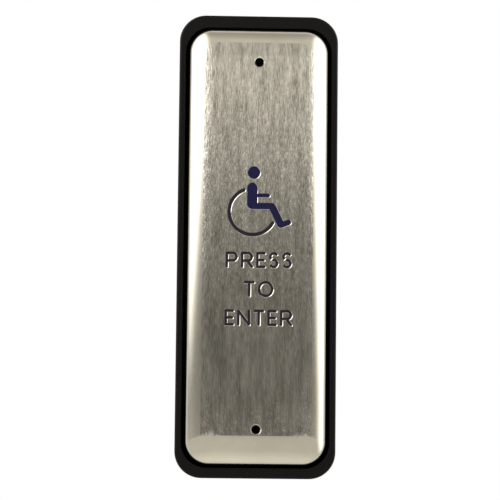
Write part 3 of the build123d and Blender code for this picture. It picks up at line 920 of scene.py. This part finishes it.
# ---------------------------------------------------------------- retaining screws
@dataclass
class RetainingScrews:
    """The two socket screws seen through the holes in the plate."""

    seat: float = 22.3
    head: float = 4.5
    head_height: float = 2.5
    head_edge: float = 0.1
    crown: tuple[Point, ...] = ((0.0, 0.25), (-0.08, 0.08), (-0.17, 0.0))
    knurls: int = 36
    knurl: float = 0.05
    shank: float = 2.4
    point: float = 0.3
    tip: float = 13.5
    key: float = 2.0
    key_depth: float = 1.3
    cone: float = 0.55
    post_z: float = POST_Z

    def screw(self, z: float) -> bpy.types.Object:
        """Models one screw: shank, knurled head with a rounded crown, and a drilled hex socket.

        Args:
            z: Height of its axis.

        Returns:
            Its mesh.
        """
        top = self.seat + self.head_height
        clear = 0.5
        steps = [(self.point, self.tip + self.point), (0.0, self.seat),
                 ((self.head - self.shank) / 2 - self.head_edge, self.seat),
                 (self.head_edge, self.seat + self.head_edge),
                 *((spread, top - below) for spread, below in self.crown)]
        with blank("retaining_screw") as piece:
            Stroke.disc(spot(0, self.tip, z), self.shank / 2 - self.point, self.knurls)
            for spread, depth in steps:
                self.step(piece, spread, depth, z)
            face_outwards()
            pick(piece, Kind.FACE, lambda f: abs(f.normal.y) < 0.1 and f.calc_area() > 0.2 * MM * MM
                 and -f.calc_center_median().y > (self.seat + 0.5) * MM)
            bpy.ops.mesh.inset(thickness=self.knurl * MM, depth=self.knurl * MM, use_individual=True)
        with blank("key") as key:
            middle = spot(0, top + clear, z)
            across = self.key / 2 / math.cos(math.pi / 6)
            bpy.ops.mesh.primitive_circle_add(vertices=6, radius=across * MM, fill_type="NGON",
                                              location=middle, rotation=(math.pi / 2, 0, 0))
            down = (self.key_depth + clear) * MM
            sink(self.key_depth + clear)
            sink(self.cone)
            low = middle + Vector((0, down + self.cone * MM, 0))
            bpy.ops.transform.resize(value=(0.05, 1, 0.05), center_override=low)
            face_outwards()
        cut(piece, key)
        # Nearly black, partly as painted shade for the bottom of the holes.
        dress(piece, BLACK_OXIDE_AND_HOLE_SHADE)
        smooth(piece, 30)
        return piece

    def step(self, piece: bpy.types.Object, spread: float, depth: float, z: float) -> None:
        """Draws the open end of a turned shape out to a depth, widened all round by a spread.

        Args:
            piece: The open mesh, with its end selected.
            spread: How much the radius grows, in millimetres.
            depth: Where the end goes.
            z: Height of the axis.
        """
        bpy.ops.mesh.extrude_region_move()
        shape = bmesh.from_edit_mesh(piece.data)
        ring = [v for v in shape.verts if v.select]
        radius = max(math.hypot(v.co.x, v.co.z - z * MM) for v in ring)
        now = -ring[0].co.y
        middle = spot(0, now / MM, z)
        ratio = (radius + spread * MM) / radius
        bpy.ops.transform.resize(value=(ratio, 1, ratio), center_override=middle)
        bpy.ops.transform.translate(value=(0, now - depth * MM, 0))

    def build(self) -> None:
        """Builds both screws as one piece."""
        lower, upper = self.screw(-self.post_z), self.screw(self.post_z)
        take(lower)
        upper.select_set(True)
        bpy.ops.object.join()
        lower.name = lower.data.name = "socket_screws"
        seat(lower, "housing", "fastener_steel", "retaining_screws")


# ---------------------------------------------------------------- return springs
@dataclass
class ReturnSprings:
    """The two compression springs round the guide posts, with closed end coils."""

    low: float = 6.5
    high: float = 14.2
    wire: float = 0.7
    outside: float = 8.0
    open_turns: float = 3.0
    closed_pitch: float = 1.02
    post_z: float = POST_Z
    travel: float = 2.5

    def coil(self, name: str, z: float) -> bpy.types.Object:
        """Winds one spring.

        Args:
            name: The piece's name.
            z: Height of its axis.

        Returns:
            Its mesh.
        """
        steps, sides = 24, 10
        radius = (self.outside - self.wire) / 2
        bottom, top = self.low + self.wire / 2, self.high - self.wire / 2
        rest = self.wire * self.closed_pitch
        turns = self.open_turns + 2
        clear_bench()
        bpy.ops.curve.primitive_nurbs_path_add(radius=1, location=(0, 0, 0))
        wire = bpy.context.object
        wire.data.splines.clear()
        line = wire.data.splines.new("NURBS")
        count = int(turns * steps)
        line.points.add(count)
        for i, point in enumerate(line.points):
            turn = i / steps
            share = min(max(turn - 1, 0), self.open_turns) / self.open_turns
            ends = rest * (min(turn, 1) + max(turn - self.open_turns - 1, 0))
            depth = bottom + ends + (top - bottom - 2 * rest) * share
            angle = 2 * math.pi * turn
            place = spot(radius * math.cos(angle), depth, z + radius * math.sin(angle))
            point.co = (*place, 1.0)
        line.order_u = 4
        line.use_endpoint_u = True
        wire.data.resolution_u = 1
        wire.data.bevel_depth = self.wire / 2 * MM
        wire.data.bevel_resolution = sides // 2 - 2
        wire.data.use_fill_caps = True
        bpy.ops.object.convert(target="MESH")
        wire.name = wire.data.name = name
        dress(wire, SPRING_WIRE)
        smooth(wire, 40)
        return wire

    def build(self) -> None:
        """Builds both springs."""
        for place, z in (("upper", self.post_z), ("lower", -self.post_z)):
            spring = self.coil(f"{place}_spring_coil", z)
            seat(spring, "housing", "spring_steel", f"{place}_return_spring")
            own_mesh(spring)


# ---------------------------------------------------------------- what stays as the CAD has it
@dataclass
class CarriedParts:
    """The CAD nodes, each dressed in its record slot's finish."""

    nodes: dict[str, bpy.types.Object]
    slots: dict[str, str]

    def build(self) -> None:
        """Dresses every node, also those that a piece replaces later."""
        for name, node in sorted(self.nodes.items()):
            slot = self.slots[name]
            node.data.materials.clear()
            node.data.materials.append(SLOT_FINISH[slot].material())
            log.info("%s: dressed in %s", name, SLOT_FINISH[slot].name)


# ---------------------------------------------------------------- studio
@dataclass(frozen=True)
class Softbox:
    """A tall soft light at one side, its inner edge leaning in over the camera.

    Attributes:
        side: -1 for the left and 1 for the right.
        edge: How far to the side its inner edge lies at camera height, 1 being square to the camera.
        lean: How much nearer that edge comes for each unit of rise.
        soft: Half the width of its soft edge.
        glow: How bright it is.
    """

    side: int
    edge: float
    lean: float
    soft: float = 0.16
    glow: float = 2.6


@dataclass
class Studio:
    """Camera, floor and the light of a white photo tent."""

    eye: tuple[float, float, float] = (-20.9, 628.0, -62.0)
    pitch: float = 5.76
    yaw: float = 1.80
    roll: float = 0.60
    lens: float = 157.6
    sensor: float = 36.0
    floor: float = -250.0
    floor_radius: float = 2000.0
    # The tent from straight down to straight up: floor bounce, the dark where the camera
    # stands, an overhead panel that starts above it, and the roof.
    tent: tuple[Point, ...] = (
        (-1.0, 1.1), (-0.6, 0.8), (-0.03, 0.75), (0.0, 0.21), (0.07, 0.21), (0.13, 0.4),
        (0.18, 1.2), (0.25, 0.8), (0.8, 0.85), (1.0, 0.5))
    warmth: tuple[float, float, float] = (1.0, 0.98, 0.9)
    softboxes: tuple[Softbox, ...] = (Softbox(-1, 1.2, 4.0), Softbox(1, 0.95, 2.0))
    highest_lean: float = 0.2
    backdrop: Colour = (0.9, 0.9, 0.88, 1.0)
    backdrop_blend: float = 0.35

    def camera(self) -> None:
        """Sets the camera a little below the plate's middle, looking up at it."""
        clear_bench()
        bpy.ops.object.camera_add()
        camera = bpy.context.object
        camera.name = "camera"
        camera.data.lens = self.lens
        camera.data.sensor_width = self.sensor
        camera.data.clip_start = 0.01
        aim = (Matrix.Rotation(-math.radians(self.yaw), 4, "Z")
               @ Matrix.Rotation(math.pi / 2 + math.radians(self.pitch), 4, "X")
               @ Matrix.Rotation(math.radians(self.roll), 4, "Z"))
        camera.matrix_world = Matrix.Translation(spot(*self.eye)) @ aim
        bpy.context.scene.camera = camera
        bpy.context.scene.view_settings.view_transform = "Standard"

    def ground(self) -> None:
        """Lays a plain pale floor well below the plate."""
        with blank("floor") as piece:
            bpy.ops.mesh.primitive_circle_add(vertices=96, radius=self.floor_radius * MM, fill_type="NGON",
                                              location=(0, 0, self.floor * MM))
            bpy.ops.mesh.inset(thickness=0.02)
        dress(piece, STUDIO_BOARD)
        piece.visible_glossy = False

    def light(self) -> None:
        """Surrounds the object with a tent whose brightness depends on the way one looks."""
        world = bpy.data.worlds.new("tent")
        bpy.context.scene.world = world
        world.use_nodes = True
        tree = world.node_tree
        tree.nodes.clear()
        way = add_node(tree, "ShaderNodeTexCoord").outputs["Generated"]
        split = add_node(tree, "ShaderNodeSeparateXYZ", {0: way})
        across, back, up = split.outputs
        height = add_node(tree, "ShaderNodeMapRange", {"Value": up, "From Min": -1.0, "From Max": 1.0})
        stops = [((z + 1) / 2, (*(v * part for part in self.warmth), 1.0)) for z, v in self.tent]
        sky = add_node(tree, "ShaderNodeValToRGB", {"Fac": height.outputs[0]}, stops=stops)
        level = add_node(tree, "ShaderNodeClamp", {"Value": up, "Min": 0.0, "Max": self.highest_lean})
        lit = sky
        for box in self.softboxes:
            aside = add_node(tree, "ShaderNodeMath", {0: across, 1: float(box.side)}, operation="MULTIPLY")
            reach = add_node(tree, "ShaderNodeMath", {0: level.outputs[0], 1: box.lean, 2: aside.outputs[0]},
                             operation="MULTIPLY_ADD")
            share = add_node(tree, "ShaderNodeMapRange", {
                "Value": reach.outputs[0], "From Min": box.edge - box.soft, "From Max": box.edge + box.soft,
                "To Max": box.glow}, interpolation_type="SMOOTHSTEP")
            lit = add_node(tree, "ShaderNodeVectorMath", {0: lit.outputs[0], 1: share.outputs[0]},
                           operation="ADD")
        behind = add_node(tree, "ShaderNodeMapRange", {
            "Value": back, "From Min": 0.0, "From Max": self.backdrop_blend}, interpolation_type="SMOOTHSTEP")
        around = add_node(tree, "ShaderNodeMix", {
            "Factor": behind.outputs[0], 6: lit.outputs[0], 7: self.backdrop}, data_type="RGBA")
        tent = add_node(tree, "ShaderNodeBackground", {"Color": around.outputs[2], "Strength": 1.0})
        white = add_node(tree, "ShaderNodeBackground", {"Color": (1.0, 1.0, 1.0, 1.0), "Strength": 1.0})
        seen = add_node(tree, "ShaderNodeLightPath").outputs["Is Camera Ray"]
        shown = add_node(tree, "ShaderNodeMixShader", {0: seen, 1: tent.outputs[0], 2: white.outputs[0]})
        add_node(tree, "ShaderNodeOutputWorld", {"Surface": shown.outputs[0]})

    def build(self) -> None:
        """Sets up the camera, the floor and the light."""
        self.camera()
        self.ground()
        self.light()


def main() -> None:
    """Builds the pieces in order and notes the size of the result."""
    logging.basicConfig(level=logging.INFO, format="%(name)s %(message)s")
    record = frame["record"]
    slots = {part["node"]: part["material_slot"] for part in record["subparts"]}
    CarriedParts(frame["nodes"], slots).build()
    FacePlate().build()
    RetainingScrews().build()
    ReturnSprings().build()
    Studio().build()


if __name__ == "__main__":
    main()
